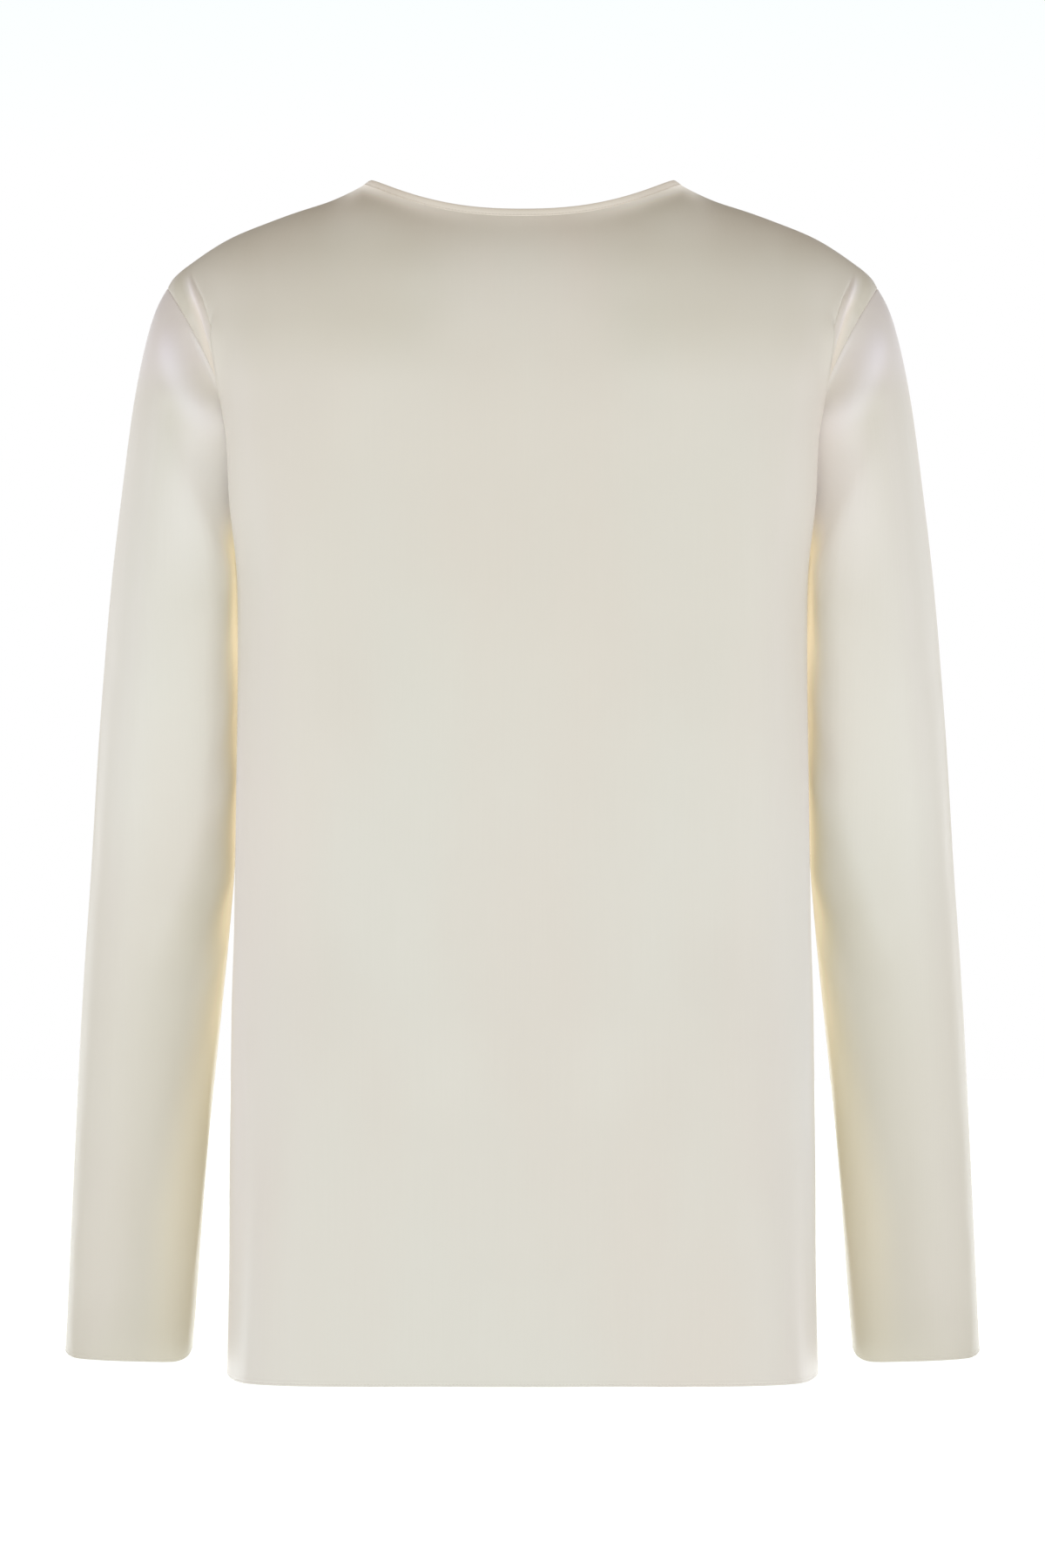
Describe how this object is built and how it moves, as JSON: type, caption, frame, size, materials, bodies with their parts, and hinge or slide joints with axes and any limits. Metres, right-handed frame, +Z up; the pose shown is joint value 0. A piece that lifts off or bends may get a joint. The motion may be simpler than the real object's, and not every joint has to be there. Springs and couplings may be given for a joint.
{
  "type": "silk blouse",
  "caption": "Long-sleeved satin pullover blouse in its worn form, with a bound V neck, set-in sleeves and open hem and cuffs.",
  "frame": {"origin": "midway between the two high shoulder points, where the wearer's shoulders hold the blouse up", "axes": "+Z up; the front faces -Y and the back +Y; +X is the wearer's left"},
  "size_m": [0.5356, 0.2429, 0.6898],
  "materials": {
    "satin": "ivory silk satin, soft gloss along the folds",
    "binding": "ivory silk satin cut on the bias, edge-stitched"
  },
  "bodies": {
    "root": {"back_panel": "satin", "front_panel": "satin", "sleeve_left": "satin", "sleeve_right": "satin", "neck_binding": "binding"}
  },
  "joints": []
}
